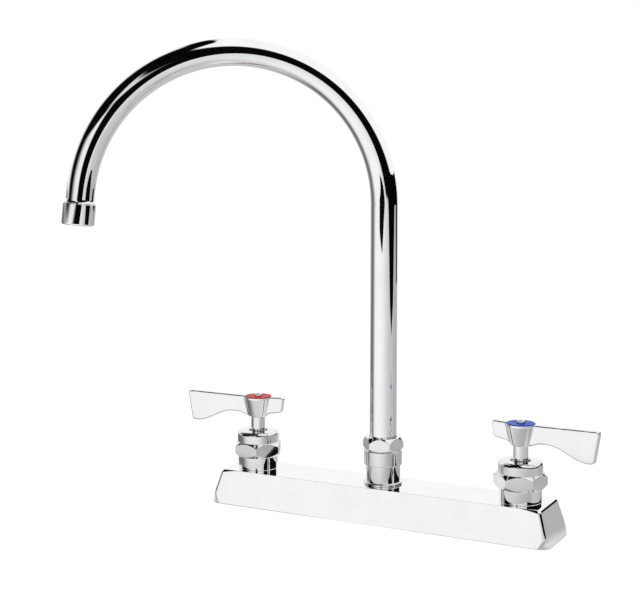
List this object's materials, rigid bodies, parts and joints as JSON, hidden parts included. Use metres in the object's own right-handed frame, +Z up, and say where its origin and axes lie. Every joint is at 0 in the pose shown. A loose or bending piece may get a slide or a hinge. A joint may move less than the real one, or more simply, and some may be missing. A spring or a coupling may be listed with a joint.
{
  "type": "gooseneck mixing tap",
  "caption": "Chrome deck-mounted mixing tap with quarter-turn lever valves for hot and cold, a swivelling gooseneck spout on a centre post and a screw-on aerator.",
  "frame": {"origin": "middle of the deck face, midway between the hot and the cold inlet, on the axis of the spout's swivel", "axes": "+Z up, out of the deck; +X from the hot valve to the cold valve; -Y towards the user"},
  "size_m": [0.3331, 0.1678, 0.336],
  "materials": {
    "cast_chrome": "polished chrome plate on a casting",
    "tube_chrome": "polished chrome plate on a drawn tube",
    "turned_chrome": "polished chrome plate on a turned part",
    "lever_chrome": "polished chrome plate on a forged lever",
    "bare_brass": "turned, unplated",
    "seal_rubber": "matte",
    "valve_ceramic": "lapped",
    "slip_plastic": "moulded",
    "spring_steel": "stamped",
    "hot_red": "moulded, glossy",
    "cold_blue": "moulded, glossy"
  },
  "bodies": {
    "deck": {"deck_body": "cast_chrome", "hot_bonnet": "turned_chrome", "cold_bonnet": "turned_chrome", "hot_bonnet_seal": "seal_rubber", "cold_bonnet_seal": "seal_rubber", "hot_cartridge_cage": "bare_brass", "cold_cartridge_cage": "bare_brass", "hot_fixed_disc": "valve_ceramic", "cold_fixed_disc": "valve_ceramic", "hot_seat_seal": "seal_rubber", "cold_seat_seal": "seal_rubber", "spout_post": "turned_chrome", "post_seal": "seal_rubber", "spout_nut": "turned_chrome", "lower_swivel_washer": "slip_plastic", "upper_swivel_washer": "slip_plastic"},
    "spout": {"gooseneck": "tube_chrome", "spout_ferrule": "bare_brass", "spigot_rings": "seal_rubber", "outlet_fitting": "turned_chrome", "aerator_housing": "turned_chrome", "aerator_insert": "slip_plastic", "aerator_screens": "spring_steel", "aerator_washer": "seal_rubber"},
    "hot_handle": {"hot_lever": "lever_chrome", "hot_index_ring": "hot_red", "hot_handle_screw": "turned_chrome", "hot_stem": "turned_chrome", "hot_stem_rings": "seal_rubber", "hot_stem_clip": "spring_steel", "hot_moving_disc": "valve_ceramic"},
    "cold_handle": {"cold_lever": "lever_chrome", "cold_index_ring": "cold_blue", "cold_handle_screw": "turned_chrome", "cold_stem": "turned_chrome", "cold_stem_rings": "seal_rubber", "cold_stem_clip": "spring_steel", "cold_moving_disc": "valve_ceramic"}
  },
  "joints": [
    {"name": "spout_swivel", "type": "hinge", "parent": "deck", "child": "spout", "pos_m": [0, 0, 0.05], "axis": [0, 0, 1], "continuous": true},
    {"name": "hot_handle_turn", "type": "hinge", "parent": "deck", "child": "hot_handle", "pos_m": [-0.1016, 0, 0.05], "axis": [0, 0, 1], "range_deg": [0, 90]},
    {"name": "cold_handle_turn", "type": "hinge", "parent": "deck", "child": "cold_handle", "pos_m": [0.1016, 0, 0.05], "axis": [0, 0, 1], "range_deg": [-90, 0]}
  ]
}
